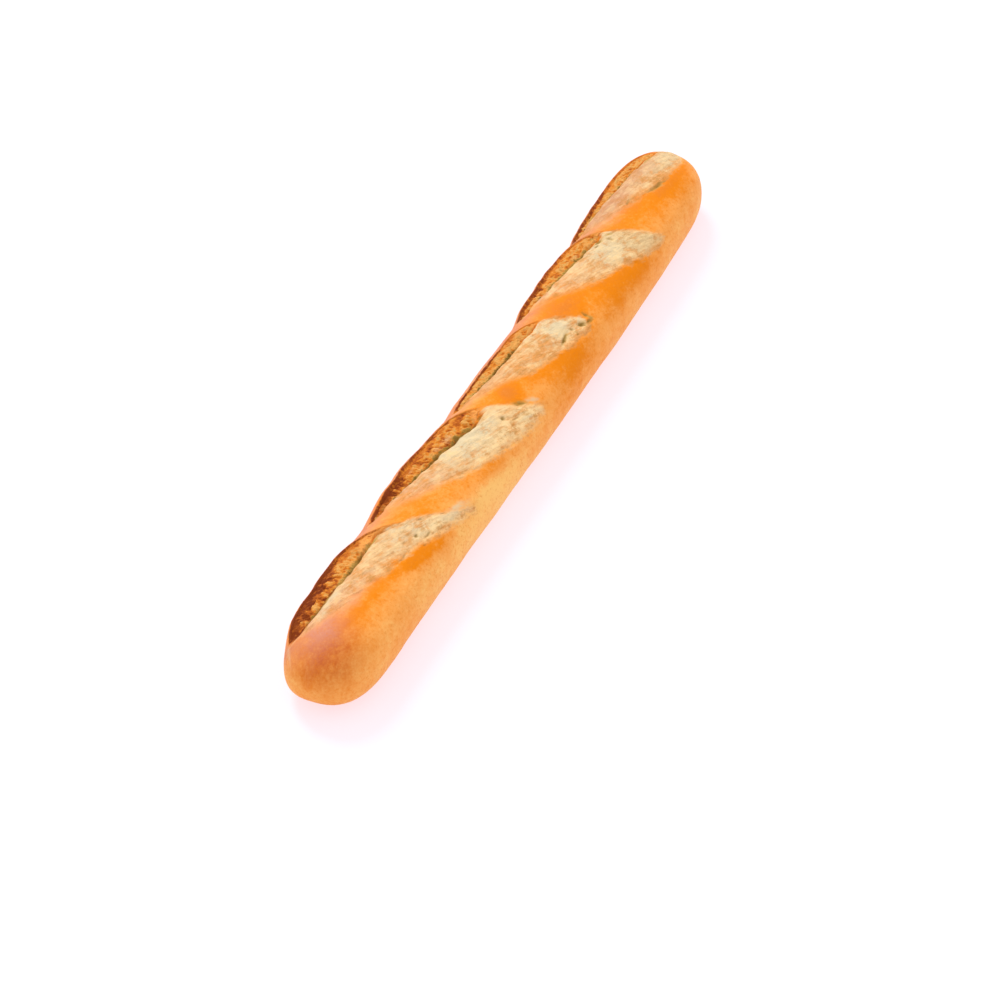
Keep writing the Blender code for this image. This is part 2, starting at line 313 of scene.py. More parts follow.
# Painted shade: places darkened in colour where shade falls, by the cracks and on the far slash.
PAINTED_SHADE_PATCHES = (
    Patch(-0.010, -0.0120, 0.016, 0.0045, 0.10, 0.70),
    Patch(-0.219, -0.0125, 0.018, 0.0035, 0.05, 0.50),
    Patch(0.200, -0.0150, 0.036, 0.0090, 0.10, 0.90),
    Patch(0.241, -0.0085, 0.017, 0.0060, 0.12, 0.85),
)
PATCHES = {"baked": BAKED, "faded": FADED, "olive_and_fold_shade": OLIVE_AND_FOLD_SHADE, "rosy_sheen_and_shade": ROSY_SHEEN_AND_SHADE, "painted_shade": PAINTED_SHADE_PATCHES}


def colour_property(name, description, default):
    return FloatVectorProperty(
        name=name, description=description, default=default, size=3, min=0.0, max=1.0, subtype="COLOR"
    )


def length_property(name, description, default):
    return FloatProperty(name=name, description=description, default=default, unit="LENGTH")


def angle_property(name, description, degrees):
    return FloatProperty(
        name=name, description=description, default=math.radians(degrees), subtype="ANGLE"
    )


class LoafSettings(bpy.types.PropertyGroup):
    """Sizes of the plain loaf."""

    length: length_property("Length", "From tip to tip", HIGH.x - LOW.x)
    back: length_property("Back", "From the crest to the widest part of the back", 0.0276)
    front: length_property("Front", "From the crest to the widest part of the front", 0.0311)
    height: length_property("Height", "Of the plain section, before its ears lift", 0.0445)
    waist: length_property("Waist", "Height of the section's widest part", 0.0190)
    near_tip: length_property("Near tip", "Length of the rounded end at -X", 0.050)
    far_tip: length_property("Far tip", "Length of the rounded end at +X", 0.054)
    tip_height: length_property("Tip height", "Height of the two tips over the table", 0.0185)
    bow: length_property("Bow", "How far the middle stands to the front of the ends", 0.0026)
    near_lean: length_property("Near lean", "How far the near tip leans to the front", 0.0050)
    far_lean: length_property("Far lean", "How far the far tip leans to the back", 0.0050)


class CrustSettings(bpy.types.PropertyGroup):
    """Colours of the crust and of what shows in its slashes."""

    straw: colour_property("Straw", "Palest crust, low on the flank", (0.88, 0.50, 0.150))
    gold: colour_property("Gold", "Most of the crust", (0.84, 0.350, 0.080))
    amber: colour_property("Amber", "Crust that is baked more", (0.74, 0.204, 0.001))
    chestnut: colour_property("Chestnut", "Crust of the crown's ridges", (0.64, 0.180, 0.015))
    brown: colour_property("Brown", "The most baked crust", (0.49, 0.098, 0.012))
    # Russet: a painted sheen, the pinker tone painted high on the back of the crust.
    russet_sheen: colour_property("Russet", "Crust high on the back", (0.55, 0.185, 0.080))
    # Rose: a painted sheen, the pink highlight painted on the crust behind the slashes.
    rose_sheen: colour_property("Rose", "Bloom on the crust behind the slashes", (0.575, 0.215, 0.095))
    # Flushed: painted sheen and painted shade, where the pinker places lie.
    flushed_sheen_and_shade: colour_property("Flushed", "Pinker places beside the slashes", (0.575, 0.228, 0.150))
    # Dusky: painted shade, a duller colour on band and crust.
    painted_shade: colour_property("Dusky", "Duller band and crust at the far slash", (0.50, 0.235, 0.115))
    cream: colour_property("Cream", "The risen bands in the slashes", (0.68, 0.390, 0.172))
    pale: colour_property("Pale", "Where the bands are palest", (0.63, 0.505, 0.315))
    ivory: colour_property("Ivory", "The bands' thin ends, low on the front", (0.83, 0.590, 0.300))
    blush: colour_property("Blush", "Where the bands begin", (0.59, 0.330, 0.205))
    toasted: colour_property("Toasted", "Where the bands took colour", (0.67, 0.265, 0.065))
    ashen: colour_property("Ashen", "Where the bands are greyer", (0.60, 0.405, 0.200))
    # Light crumb: partly a painted highlight on the tops of the strands.
    light: colour_property("Light crumb", "Tops of the torn crumb's strands", (0.69, 0.325, 0.082))
    honey: colour_property("Honey", "Most of the torn crumb", (0.62, 0.200, 0.020))
    # Rust: crumb baked more, and partly painted shade in the hollows between strands.
    rust_and_hollow_shade: colour_property("Rust", "Torn crumb that is baked more", (0.43, 0.106, 0.013))
    burnt: colour_property("Burnt", "Crumb under the most baked ears", (0.160, 0.026, 0.003))
    maroon: colour_property("Maroon", "Rims of the ears", (0.230, 0.045, 0.012))
    # Olive: partly painted shade in the bands' folds and hollows, and an olive tint in veins and specks.
    olive_and_fold_shade: colour_property("Olive", "Folds and hollows of the bands", (0.43, 0.265, 0.065))
    # Crack: partly painted shade, the dark of the cracks and pits painted into the colour; also used for
    # dark flecks in the bands.
    crack: colour_property("Crack", "Depths of the cracks", (0.29, 0.160, 0.030))


class StudioSettings(bpy.types.PropertyGroup):
    """Where the camera and the lights stand."""

    azimuth: angle_property("Azimuth", "Of the camera, from the loaf's front", -65.9)
    elevation: angle_property("Elevation", "Of the camera, over the table", 39.0)
    distance: length_property("Distance", "From the camera to the loaf", 2.611)
    lens: FloatProperty(name="Lens", description="Focal length", default=152.2, unit="CAMERA")
    aim_right: length_property("Aim right", "How far right of the loaf's middle the camera aims", -0.0052)
    aim_up: length_property("Aim up", "How far above the middle of the loaf's base the camera aims", -0.0412)
    key: FloatProperty(name="Key", description="Strength of the main light", default=1.9, min=0.0)
    key_angle: angle_property("Key softness", "How wide the main light is, seen from the loaf", 20.0)
    fill: FloatProperty(name="Fill", description="Strength of the light all round", default=1.05, min=0.0)
    floor: FloatProperty(
        name="Floor", description="How white the floor is", default=0.30, min=0.0, max=1.0
    )
    table: FloatProperty(
        name="Light table", description="Strength of the light from under the floor", default=0.77, min=0.0
    )
    table_colour: colour_property("Table colour", "Of that light", (1.0, 0.81, 0.89))


# ---------------------------------------------------------------- the plain loaf


def smoothstep(low, high, value):
    """0 below low, 1 above high, and a smooth rise between."""
    share = np.clip((value - low) / (high - low), 0.0, 1.0)
    return share * share * (3.0 - 2.0 * share)


def fade(low, high, value):
    """1 below low, 0 above high, and a smooth fall between."""
    return 1.0 - smoothstep(low, high, value)


def bell(away, width):
    """1 where away is 0, falling off to each side over about a width."""
    return np.exp(-((away / width) ** 2))


def section_outline(loaf):
    """The plain section as (v, y, z), from the middle of the underside round the back."""
    turn = np.linspace(-math.pi, math.pi, OUTLINE_STEPS + 1)
    side, up = np.sin(turn), np.cos(turn)
    power = np.where(up > 0, CROWN_POWER, BASE_POWER)
    rise = np.where(up > 0, loaf.height - loaf.waist, loaf.waist + BASE_SINK)
    reach = np.where(side < 0, loaf.back, loaf.front)
    y = -reach * np.sign(side) * np.abs(side) ** (2 / power)
    z = loaf.waist + rise * np.sign(up) * np.abs(up) ** (2 / power)
    v = np.concatenate([[0.0], np.cumsum(np.hypot(np.diff(y), np.diff(z)))])
    return v - v[OUTLINE_STEPS // 2], y, z


def fullness(loaf, x):
    """How full the section is at x: 1 along the loaf, falling to 0 at its two tips."""
    tip = np.where(x < 0, loaf.near_tip, loaf.far_tip)
    blunt = np.where(x < 0, NEAR_BLUNT, FAR_BLUNT)
    into_tip = np.clip((np.abs(x) - (loaf.length / 2 - tip)) / tip, 0.0, 1.0)
    return (1.0 - into_tip**blunt) ** (1 / blunt)


def loaf_end(loaf, x):
    """How far x is from the nearer tip."""
    return loaf.length / 2 - np.abs(x)


def centreline(loaf, x):
    """y of the loaf's middle at x."""
    along = 2 * np.abs(x) / loaf.length
    lean = np.where(x > 0, loaf.far_lean * along**FAR_POWER, -loaf.near_lean * along**NEAR_POWER)
    return lean - loaf.bow * np.cos(math.pi * along / 2)


def stations(loaf):
    """Each ring's x, evenly spaced along the loaf's outline, both tips included."""
    x = loaf.length / 2 * np.sin(np.linspace(-math.pi / 2, math.pi / 2, STATION_STEPS))
    radius = fullness(loaf, x) * loaf.front
    along = np.concatenate([[0.0], np.cumsum(np.hypot(np.diff(x), np.diff(radius)))])
    return np.interp(np.linspace(0.0, along[-1], RINGS + 2), along, x)


class Plain:
    """The plain loaf's surface, from which everything on it is measured."""

    def __init__(self, loaf):
        self.loaf = loaf
        self.v, self.y, self.z = section_outline(loaf)
        step_y, step_z = np.gradient(self.y), np.gradient(self.z)
        length = np.hypot(step_y, step_z)
        self.along_y, self.along_z = step_y / length, step_z / length

    def at(self, table, v):
        return np.interp(v, self.v, table)

    def spot(self, v):
        """y and z of the plain section at v."""
        return self.at(self.y, v), self.at(self.z, v)

    def place(self, x, v, out, sideways=0.0):
        """The points at x (a column) and v, moved out of the surface and along it to the front."""
        y, z = self.spot(v)
        along_y, along_z = self.at(self.along_y, v), self.at(self.along_z, v)
        full = fullness(self.loaf, x)
        tip_height = self.loaf.tip_height
        placed_y = full * (y + out * along_z + sideways * along_y) + centreline(self.loaf, x)
        placed_z = tip_height + full * (z - out * along_y + sideways * along_z - tip_height)
        return np.stack([np.broadcast_to(x, v.shape), placed_y, np.maximum(placed_z, 0.0)], axis=-1)


# ---------------------------------------------------------------- randomness


def waver(x, length, seed):
    """A smooth random line along x, from about -1 to 1, that turns about once in length."""
    flat = [noise.noise(Vector((place / length, seed * 7.3, 0.5))) for place in np.ravel(x)]
    return 1.6 * np.array(flat).reshape(np.shape(x))


def fractal(points, size, octaves, seed):
    """Random relief from about -1 to 1 at each point, its largest lumps about size across."""
    shift = Vector((seed * 13.7, seed * 5.1, seed * 9.3))
    flat = points.reshape(-1, 3) / size
    values = [noise.fractal(Vector(point) + shift, 0.9, 2.1, octaves) for point in flat.tolist()]
    return np.array(values).reshape(points.shape[:-1])


def ridges(points, size, seed):
    """Random strands about size apart: 1 on a strand, falling to 0 and below between them."""
    return 1.0 - 2.6 * np.abs(fractal(points, size, 2, seed))


# ---------------------------------------------------------------- the slashes


def column(values):
    return np.asarray(values)[:, None]


class Leaf:
    """One opened slash at each ring: its lines, and its heights over the plain loaf."""

    def __init__(self, slash, seed, x):
        self.slash = slash
        u = np.clip((x - slash.start) / (slash.end - slash.start), 0.0, 1.0)
        self.u, self.open = u, (u > 0.0) & (u < 1.0)
        ends = np.sin(math.pi * u) ** 0.5
        begun = np.exp(-u / SETTLE)

        def settled(line):
            return line + (slash.begin - line) * begun

        ragged = 0.00050 * waver(x, 0.006, seed) + 0.00030 * waver(x, 0.0022, seed + 0.5)
        cross = smoothstep(slash.turn, slash.turned, u)
        self.joined = smoothstep(0.06, 0.55, cross)
        self.rim = settled(slash.rim + (slash.front - slash.rim) * cross) + ends * ragged
        wander = 0.0008 * waver(x, 0.009, seed + 11) + 0.00035 * waver(x, 0.0028, seed + 12)
        crack = settled(slash.crack + slash.drift * u**slash.late)
        self.crack = np.maximum(crack, self.rim + WALL_LEAST * smoothstep(0.0, 0.1, u)) + ends * wander
        edge = settled(slash.edge + (slash.front - slash.edge) * (1.0 - (1.0 - u) ** slash.spread))
        bulge = smoothstep(0.55, 0.80, u) * fade(0.92, 1.0, u)
        frayed = 0.0012 * waver(x, 0.014, seed + 21) + 0.0005 * waver(x, 0.004, seed + 22)
        edge = edge + BAND_BULGE * bulge + ends * frayed
        self.edge = np.maximum(edge, self.crack + BAND_LEAST)

        self.swell = smoothstep(0.0, 0.14, u) * fade(0.72, 1.0, u)
        lifted = smoothstep(0.0, 0.13, u) * (1.0 - 0.72 * smoothstep(0.40, 0.85, u))
        self.lift = slash.lift * lifted * fade(0.8, 1.0, u)
        self.lift = self.lift * (1.0 + 0.12 * waver(x, 0.012, seed + 31)) * (1.0 - 0.5 * self.joined)
        closing = fade(CRACK_END - 0.15, CRACK_END + 0.10, u)
        self.split = smoothstep(0.02, 0.10, u) * closing * (1.0 - self.joined)
        gaping = np.clip(0.75 + 0.75 * waver(x, 0.010, seed + 41), 0.12, 1.4)
        self.depth = slash.depth * smoothstep(0.02, 0.10, u) * closing * gaping * (1.0 - self.joined)
        self.top = self.crack + (self.rim - self.crack) * self.joined
        self.lip = np.minimum(LIP, 0.7 * self.lift)

    def wall(self, down):
        """Height of the torn crumb, from under the rim (down 0) to the crack (down 1)."""
        top = column(self.lift - self.lip)
        return top * (1.0 - down) ** 1.3 - 0.5 * column(self.depth) * down**1.2


def leaf_relief(leaf, v):
    """What one leaf does to the loaf at each ring and v: how far out and how far to the front
    it moves the plain surface, where its rim, wall, crack and band lie, and how they baked;
    the crack's dark colour is partly painted shade."""
    rim, crack, edge = column(leaf.rim), column(leaf.crack), column(leaf.edge)
    lift, lip, depth, swell = (column(part) for part in (leaf.lift, leaf.lip, leaf.depth, leaf.swell))
    u, slash = column(leaf.u), leaf.slash
    beyond = v - rim

    cheek = slash.cheek * smoothstep(0.0, 0.25, u) * fade(slash.full, slash.full + 0.25, u)
    cheek = cheek * bell(v - CHEEK_MIDDLE, CHEEK_REACH)
    behind = lift * np.exp(-np.clip(-beyond / EAR_REACH, 0.0, None) ** 1.5)
    down = np.clip(beyond / (crack - rim), 0.0, 1.0)
    fall = lip * smoothstep(0.0, 0.0008, beyond)
    sunk = WALL_SINK * swell * smoothstep(0.0002, 0.0012, beyond) * fade(0.8, 1.0, down)
    sunk = sunk * (1.0 - column(leaf.joined))
    wall = lift - fall - (lift - lip - leaf.wall(down)) - sunk
    joined, top = column(leaf.joined), column(leaf.top)
    wall = wall + (lift * (1.0 - down) ** 2 - wall) * joined
    over_band = np.clip((v - top) / (edge - top), 0.0, 1.0)
    band = BAND_RISE * np.sin(math.pi * over_band**0.7) * swell
    out = np.where(beyond < 0, behind, np.where(v < crack, wall, 0.0)) + np.where(beyond > 0, band, 0.0)
    crack_width = np.where(v > crack, 0.0013, 0.0009)
    out = out + cheek - depth * np.exp(-((np.abs(v - crack) / crack_width) ** 1.8))
    leaning = np.where(beyond < 0, np.exp(beyond / 0.0022), np.exp(-beyond / 0.0005))
    sideways = LIP_LEAN * lift / slash.lift * leaning

    grown = smoothstep(0.0, 0.05, u) * fade(0.93, 1.0, u)
    on_wall = smoothstep(-0.0002, 0.0005, beyond) * fade(-0.0006, 0.0006, v - crack) * grown
    on_band = smoothstep(-0.0002, 0.0010, v - top) * fade(-0.001, 0.001, v - edge) * grown
    fading = fade(0.92, 1.0, u)
    past_top = (v - top) * (1.0 + 14.0 * (1.0 - joined))
    below = np.clip(v - edge, 0.0, None)
    before = np.clip(-beyond, 0.0, None)
    behind_rim = (beyond < 0.0003) * grown
    crossing = smoothstep(0.55, 0.80, u)
    masks = {
        "wall": on_wall * (1.0 - joined),
        "golden": bell(beyond, 0.0014) * joined * grown,
        "cream": on_band,
        "band": (np.clip(np.minimum(past_top, edge - v) / CENTIMETRE, -1.0, 1.0) + 1.0) * fading,
        "start": fade(0.10, 0.50, u) * grown * (v > top) * fade(0.002, 0.008, v - edge),
        "pale": on_band * bell(u - slash.pale, 0.22),
        "took": on_band * slash.took,
        "low": smoothstep(0.007, 0.022, v) * (beyond > 0.0),
        "grey": on_band * slash.grey * crossing,
        # Partly painted shade: the crack's dark colour, stronger where the crack is deeper.
        "crack": bell(v - crack, 0.0020) * column(leaf.split)
        * (0.50 + 0.50 * smoothstep(0.0003, 0.0016, depth)),
        "rim": bell(beyond - 0.0002, 0.0007) * grown * fade(0.45, 0.75, u),
        "ear": np.exp(-before / 0.0075) * behind_rim * crossing * bell(v - 0.004, 0.013),
        "under": np.exp(-((below / 0.0105) ** 1.5)) * smoothstep(-0.0010, 0.0015, v - edge)
        * smoothstep(0.12, 0.45, u) * (1.0 - 0.75 * smoothstep(0.72, 0.95, u)) * grown,
        "scorch": slash.char * fade(slash.burnt - 0.2, slash.burnt + 0.1, u)
        * np.maximum(np.exp(-before / 0.004) * behind_rim, on_wall * 0.999),
    }
    off = ~column(leaf.open)
    out = np.where(off, 0.0, out)
    sideways = np.where(off, 0.0, sideways)
    return out, sideways, {name: np.where(off, 0.0, mask) for name, mask in masks.items()}


# ---------------------------------------------------------------- meshes


def ring_mesh(name, points, masks, lie):
    """A closed mesh whose rings run through the points, made from a sphere with its poles at
    the first and last ring, with the masks and the lie of each point kept on it."""
    rings, around = points.shape[0] - 2, points.shape[1]
    sphere = bmesh.new()
    bmesh.ops.create_uvsphere(sphere, u_segments=around, v_segments=rings + 1, radius=1.0)
    mesh = bpy.data.meshes.new(name)
    sphere.to_mesh(mesh)
    sphere.free()
    ball = np.empty(len(mesh.vertices) * 3)
    mesh.vertices.foreach_get("co", ball)
    ball = ball.reshape(-1, 3)
    polar = np.arccos(np.clip(ball[:, 2], -1.0, 1.0))
    row = np.rint(polar / math.pi * (rings + 1)).astype(int)
    place = np.rint(np.arctan2(ball[:, 1], ball[:, 0]) / math.tau * around).astype(int) % around

    mesh.vertices.foreach_set("co", points[row, place].ravel())
    for key, mask in masks.items():
        layer = mesh.attributes.new(key, "FLOAT", "POINT")
        layer.data.foreach_set("value", mask[row, place].astype(np.float32))
    layer = mesh.attributes.new("lie", "FLOAT_VECTOR", "POINT")
    layer.data.foreach_set("vector", lie[row, place].astype(np.float32).ravel())
    mesh.update()
    if mesh_volume(mesh) < 0:
        mesh.flip_normals()
    mesh.shade_smooth()
    return mesh


def mesh_volume(mesh):
    work = bmesh.new()
    work.from_mesh(mesh)
    volume = work.calc_volume(signed=True)
    work.free()
    return volume


def spread_points(x, leaves, outline_v):
    """v of each point of each ring: closer on the crown, and closest on rims and cracks."""
    steps = np.diff(outline_v)
    middle = (outline_v[1:] + outline_v[:-1]) / 2
    crown = smoothstep(CROWN_BACK - CROWN_BLUR, CROWN_BACK, middle)
    crown = crown * fade(CROWN_FRONT, CROWN_FRONT + CROWN_BLUR, middle)
    base = 1.0 + (CROWN_SHARE - 1.0) * crown
    rows = []
    for index in range(len(x)):
        weight = base.copy()
        for leaf in leaves:
            if leaf.open[index]:
                at_rim = bell(middle - leaf.rim[index], LINE_BLUR)
                at_crack = bell(middle - leaf.crack[index] - CRACK_FOOT, LINE_BLUR)
                weight = weight + LEAF_SHARE * (at_rim + at_crack) * leaf.swell[index] ** 0.5
        reach = np.concatenate([[0.0], np.cumsum(steps * weight)])
        rows.append(np.interp(np.linspace(0.0, reach[-1], AROUND, endpoint=False), reach, outline_v))
    return np.array(rows)


def laid(x, v):
    """The lie of each point: its x and v, for grain that runs along the loaf or across it."""
    return np.stack([np.broadcast_to(x, v.shape), v, np.zeros_like(v)], axis=-1)


def crust_points(plain):
    """Every point of the crust by ring and by place round it, its masks and its lie."""
    x = stations(plain.loaf)
    leaves = [Leaf(slash, seed, x) for seed, slash in enumerate(SLASHES, 1)]
    v = spread_points(x, leaves, plain.v)
    out, sideways, masks = np.zeros_like(v), np.zeros_like(v), {}
    for leaf in leaves:
        leaf_out, leaf_side, leaf_masks = leaf_relief(leaf, v)
        out, sideways = out + leaf_out, sideways + leaf_side
        for name, mask in leaf_masks.items():
            masks[name] = np.maximum(masks.get(name, 0.0), mask)

    x = column(x)
    y, z = plain.spot(v)
    section = np.stack([np.broadcast_to(x, v.shape), y, z], axis=-1)
    lie = laid(x, v)
    whole = (1.0 - masks["wall"]) * (1.0 - masks["cream"])
    out = out + 0.00040 * fractal(section, 0.032, 2, 1) * (z > 0.006)
    out = out + 0.00007 * fractal(section, 0.0030, 3, 2) * whole
    slanting = lie @ np.array([[0.42, -0.45, 0.0], [0.15, 1.0, 0.0], [0.0, 0.0, 1.0]])
    out = out + 0.00055 * fractal(slanting, 0.0042, 3, 4) * masks["cream"]
    out = out + 0.00055 * fractal(lie, 0.0085, 2, 5) * masks["cream"]
    pitted, masks["pit"] = pit_relief(x, v)
    masks.update(patch_masks(x, v))
    out = out - pitted - OLIVE_SINK * masks["olive_and_fold_shade"]

    points = plain.place(x, v, out, sideways)
    masks["crown"] = fade(0.006, 0.030, np.abs(v + 0.002))
    masks["near_end"] = bell(np.linalg.norm(points - NEAR_BROWN, axis=-1), NEAR_BROWN_REACH)
    masks["straw"] = bell(x + 0.090, 0.070) * smoothstep(0.022, 0.032, v)
    # Painted sheen: a pink highlight painted high on the back of the crown, behind the slashes.
    painted_sheen = fade(-0.022, -0.003, v)
    shoulder = smoothstep(0.0, 0.020, loaf_end(plain.loaf, x))
    masks["painted_sheen"] = painted_sheen * whole * smoothstep(0.014, 0.030, z) * shoulder
    # Painted sheen: a pinker tone painted high on the back.
    masks["painted_back_sheen"] = fade(-0.026, -0.008, v) * smoothstep(0.018, 0.032, z) * shoulder
    return points, masks, lie


def off_middle(place, x, v, warp):
    """How far each x and v is from a pit's or patch's middle, as a share of its size, squared."""
    along = (x - place.x) * math.cos(place.turn) + (v - place.v) * math.sin(place.turn) + warp
    across = (v - place.v) * math.cos(place.turn) - (x - place.x) * math.sin(place.turn) + warp
    return (along / place.long) ** 2 + (across / place.wide) ** 2


def patch_masks(x, v):
    """How browned, faded, olive with painted fold shade, pink with painted sheen and shade, and dull with
    painted shade each x and v is.
    """
    warp = 0.0022 * fractal(laid(x, v), 0.0110, 3, 73)
    masks = {}
    for kind, patches in PATCHES.items():
        masks[kind] = np.zeros_like(v)
        for patch in patches:
            away = off_middle(patch, x, v, warp * min(1.0, patch.wide / WARPED_WIDTH))
            masks[kind] = np.maximum(masks[kind], patch.share * np.exp(-(away**0.9)))
    return masks


def pit_relief(x, v):
    """How deep the pits go at each x and v, and how much of a pit it is."""
    deep, share = np.zeros_like(v), np.zeros_like(v)
    warp = 0.0009 * fractal(laid(x, v), 0.0035, 2, 71)
    for pit in PITS:
        inside = np.exp(-(off_middle(pit, x, v, warp) ** 1.3))
        deep = np.maximum(deep, pit.depth * inside)
        # Partly painted shade: a pit's dark colour is stronger the deeper it is.
        share = np.maximum(share, inside**0.6 * min(0.9, pit.depth / 0.0012))
    return deep, share


def tear_points(plain, slash, seed):
    """The torn crumb of one slash: its top from under the ear's rim to the crack, and its
    bottom, which is hidden in the loaf."""
    length = slash.end - slash.start
    first, last = slash.start + TEAR_START * length, slash.start + TEAR_END * length
    x = np.linspace(first, last, int(length / TEAR_STEP))
    x = x[np.abs(x) < plain.loaf.length / 2 - TIP_CLEAR]
    leaf = Leaf(slash, seed, x)
    x = column(x)
    joined = column(leaf.joined)
    width = column(leaf.crack - leaf.rim) * (1.0 - joined)
    down = np.linspace(-0.03, 1.05, TEAR_TOP)[None, :] * np.ones_like(x)
    v = column(leaf.rim) + down * width
    lie = laid(x, v)
    swell = column(leaf.swell)
    held = np.clip(down, 0.0, 1.0) * (1.0 - joined)

    across = lie @ np.array([[1.0, 0.45, 0.0], [-0.50, 0.55, 0.0], [0.0, 0.0, 1.0]])
    strand = ridges(across, 0.0036, seed + 50)
    clump = fractal(lie, 0.0052, 3, seed + 55)
    crumb = fractal(lie, 0.0016, 3, seed + 60)
    inner = smoothstep(0.02, 0.12, down) * fade(0.90, 1.0, down)
    rough = inner * (0.35 + 0.65 * smoothstep(0.10, 0.55, down))
    torn = 0.00075 * strand * (0.7 + 0.8 * clump) + 0.00085 * clump + 0.00060 * crumb
    out = leaf.wall(held)
    out = out + (column(leaf.lift) * (1.0 - held) ** 2 - out) * joined
    out = out + torn * rough * swell * (1.0 - 0.6 * joined)
    out = out - 0.0003 * smoothstep(0.03, -0.03, down)
    out = out - 0.0022 * smoothstep(0.84, 1.05, down) * (1.0 - 0.8 * joined)
    out = out - 0.0012 * (1.0 - swell) - 0.0003 * joined

    back = np.linspace(1.0, 0.0, TEAR_BOTTOM)[None, :] * np.ones_like(x)
    out_back = leaf.wall(back) - TEAR_THICK
    all_v = np.concatenate([v, column(leaf.rim) + back * width], axis=1)
    all_out = np.concatenate([out, out_back], axis=1)
    patches = patch_masks(x, all_v)
    points = plain.place(x, all_v, all_out - OLIVE_SINK * patches["olive_and_fold_shade"])
    points[0] = points[0].mean(axis=0)
    points[-1] = points[-1].mean(axis=0)

    burning = smoothstep(0.02, 0.07, leaf.u) * fade(slash.burnt - 0.20, slash.burnt + 0.05, leaf.u)
    reach = 0.06 + 0.75 * slash.char**2 * column(burning)
    turning = column(smoothstep(slash.turn + 0.02, slash.turn + 0.22, leaf.u))
    charred = min(1.0, 1.4 * slash.char) * fade(0.52, 1.38, down / reach + 0.45 * clump)
    masks = {
        "down": down,
        "strand": (0.6 * strand + 0.7 * clump) * rough,
        "charred": charred,
        "tanned": np.full_like(down, slash.tan - 0.8 * (1.0 - slash.char)),
        # Partly painted shade: the crumb is darker near the crack, more where the crack is deeper.
        "sunk": smoothstep(0.66, 0.98, down) * column(leaf.split)
        * (0.45 + 0.55 * smoothstep(0.0003, 0.0020, column(leaf.depth))),
        "closing": smoothstep(-0.30, 0.30, down - 1.30 + 1.6 * turning),
    }
    masks = {name: np.pad(mask, ((0, 0), (0, TEAR_BOTTOM))) for name, mask in masks.items()}
    masks.update(patches)
    return points, masks, laid(x, all_v)


def fitted(points, crust):
    """The points, stretched as the crust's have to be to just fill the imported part's box."""
    low, high = crust.reshape(-1, 3).min(axis=0), crust.reshape(-1, 3).max(axis=0)
    return np.array(LOW) + (points - low) * (np.array(HIGH) - np.array(LOW)) / (high - low)


# ---------------------------------------------------------------- materials


class Value:
    """A number that varies over a surface: a node's socket that Python's operators work on."""

    def __init__(self, finish, socket):
        self.finish, self.socket = finish, socket

    def math(self, operation, *terms):
        node = self.finish.node("ShaderNodeMath", {"operation": operation}, dict(enumerate(terms)))
        return Value(self.finish, node.outputs[0])

    def __add__(self, other):
        return self.math("ADD", self, other)

    __radd__ = __add__

    def __sub__(self, other):
        return self.math("SUBTRACT", self, other)

    def __rsub__(self, other):
        return self.math("SUBTRACT", other, self)

    def __mul__(self, other):
        return self.math("MULTIPLY", self, other)

    __rmul__ = __mul__

    def __abs__(self):
        return self.math("ABSOLUTE", self)

    def held(self):
        """The value kept between 0 and 1."""
        return self.math("MINIMUM", self.math("MAXIMUM", self, 0.0), 1.0)

    def rise(self, low, high):
        """0 below low, 1 above high, and a smooth rise between."""
        node = self.finish.node(
            "ShaderNodeMapRange",
            {"interpolation_type": "SMOOTHSTEP"},
            {"Value": self, "From Min": low, "From Max": high},
        )
        return Value(self.finish, node.outputs["Result"])


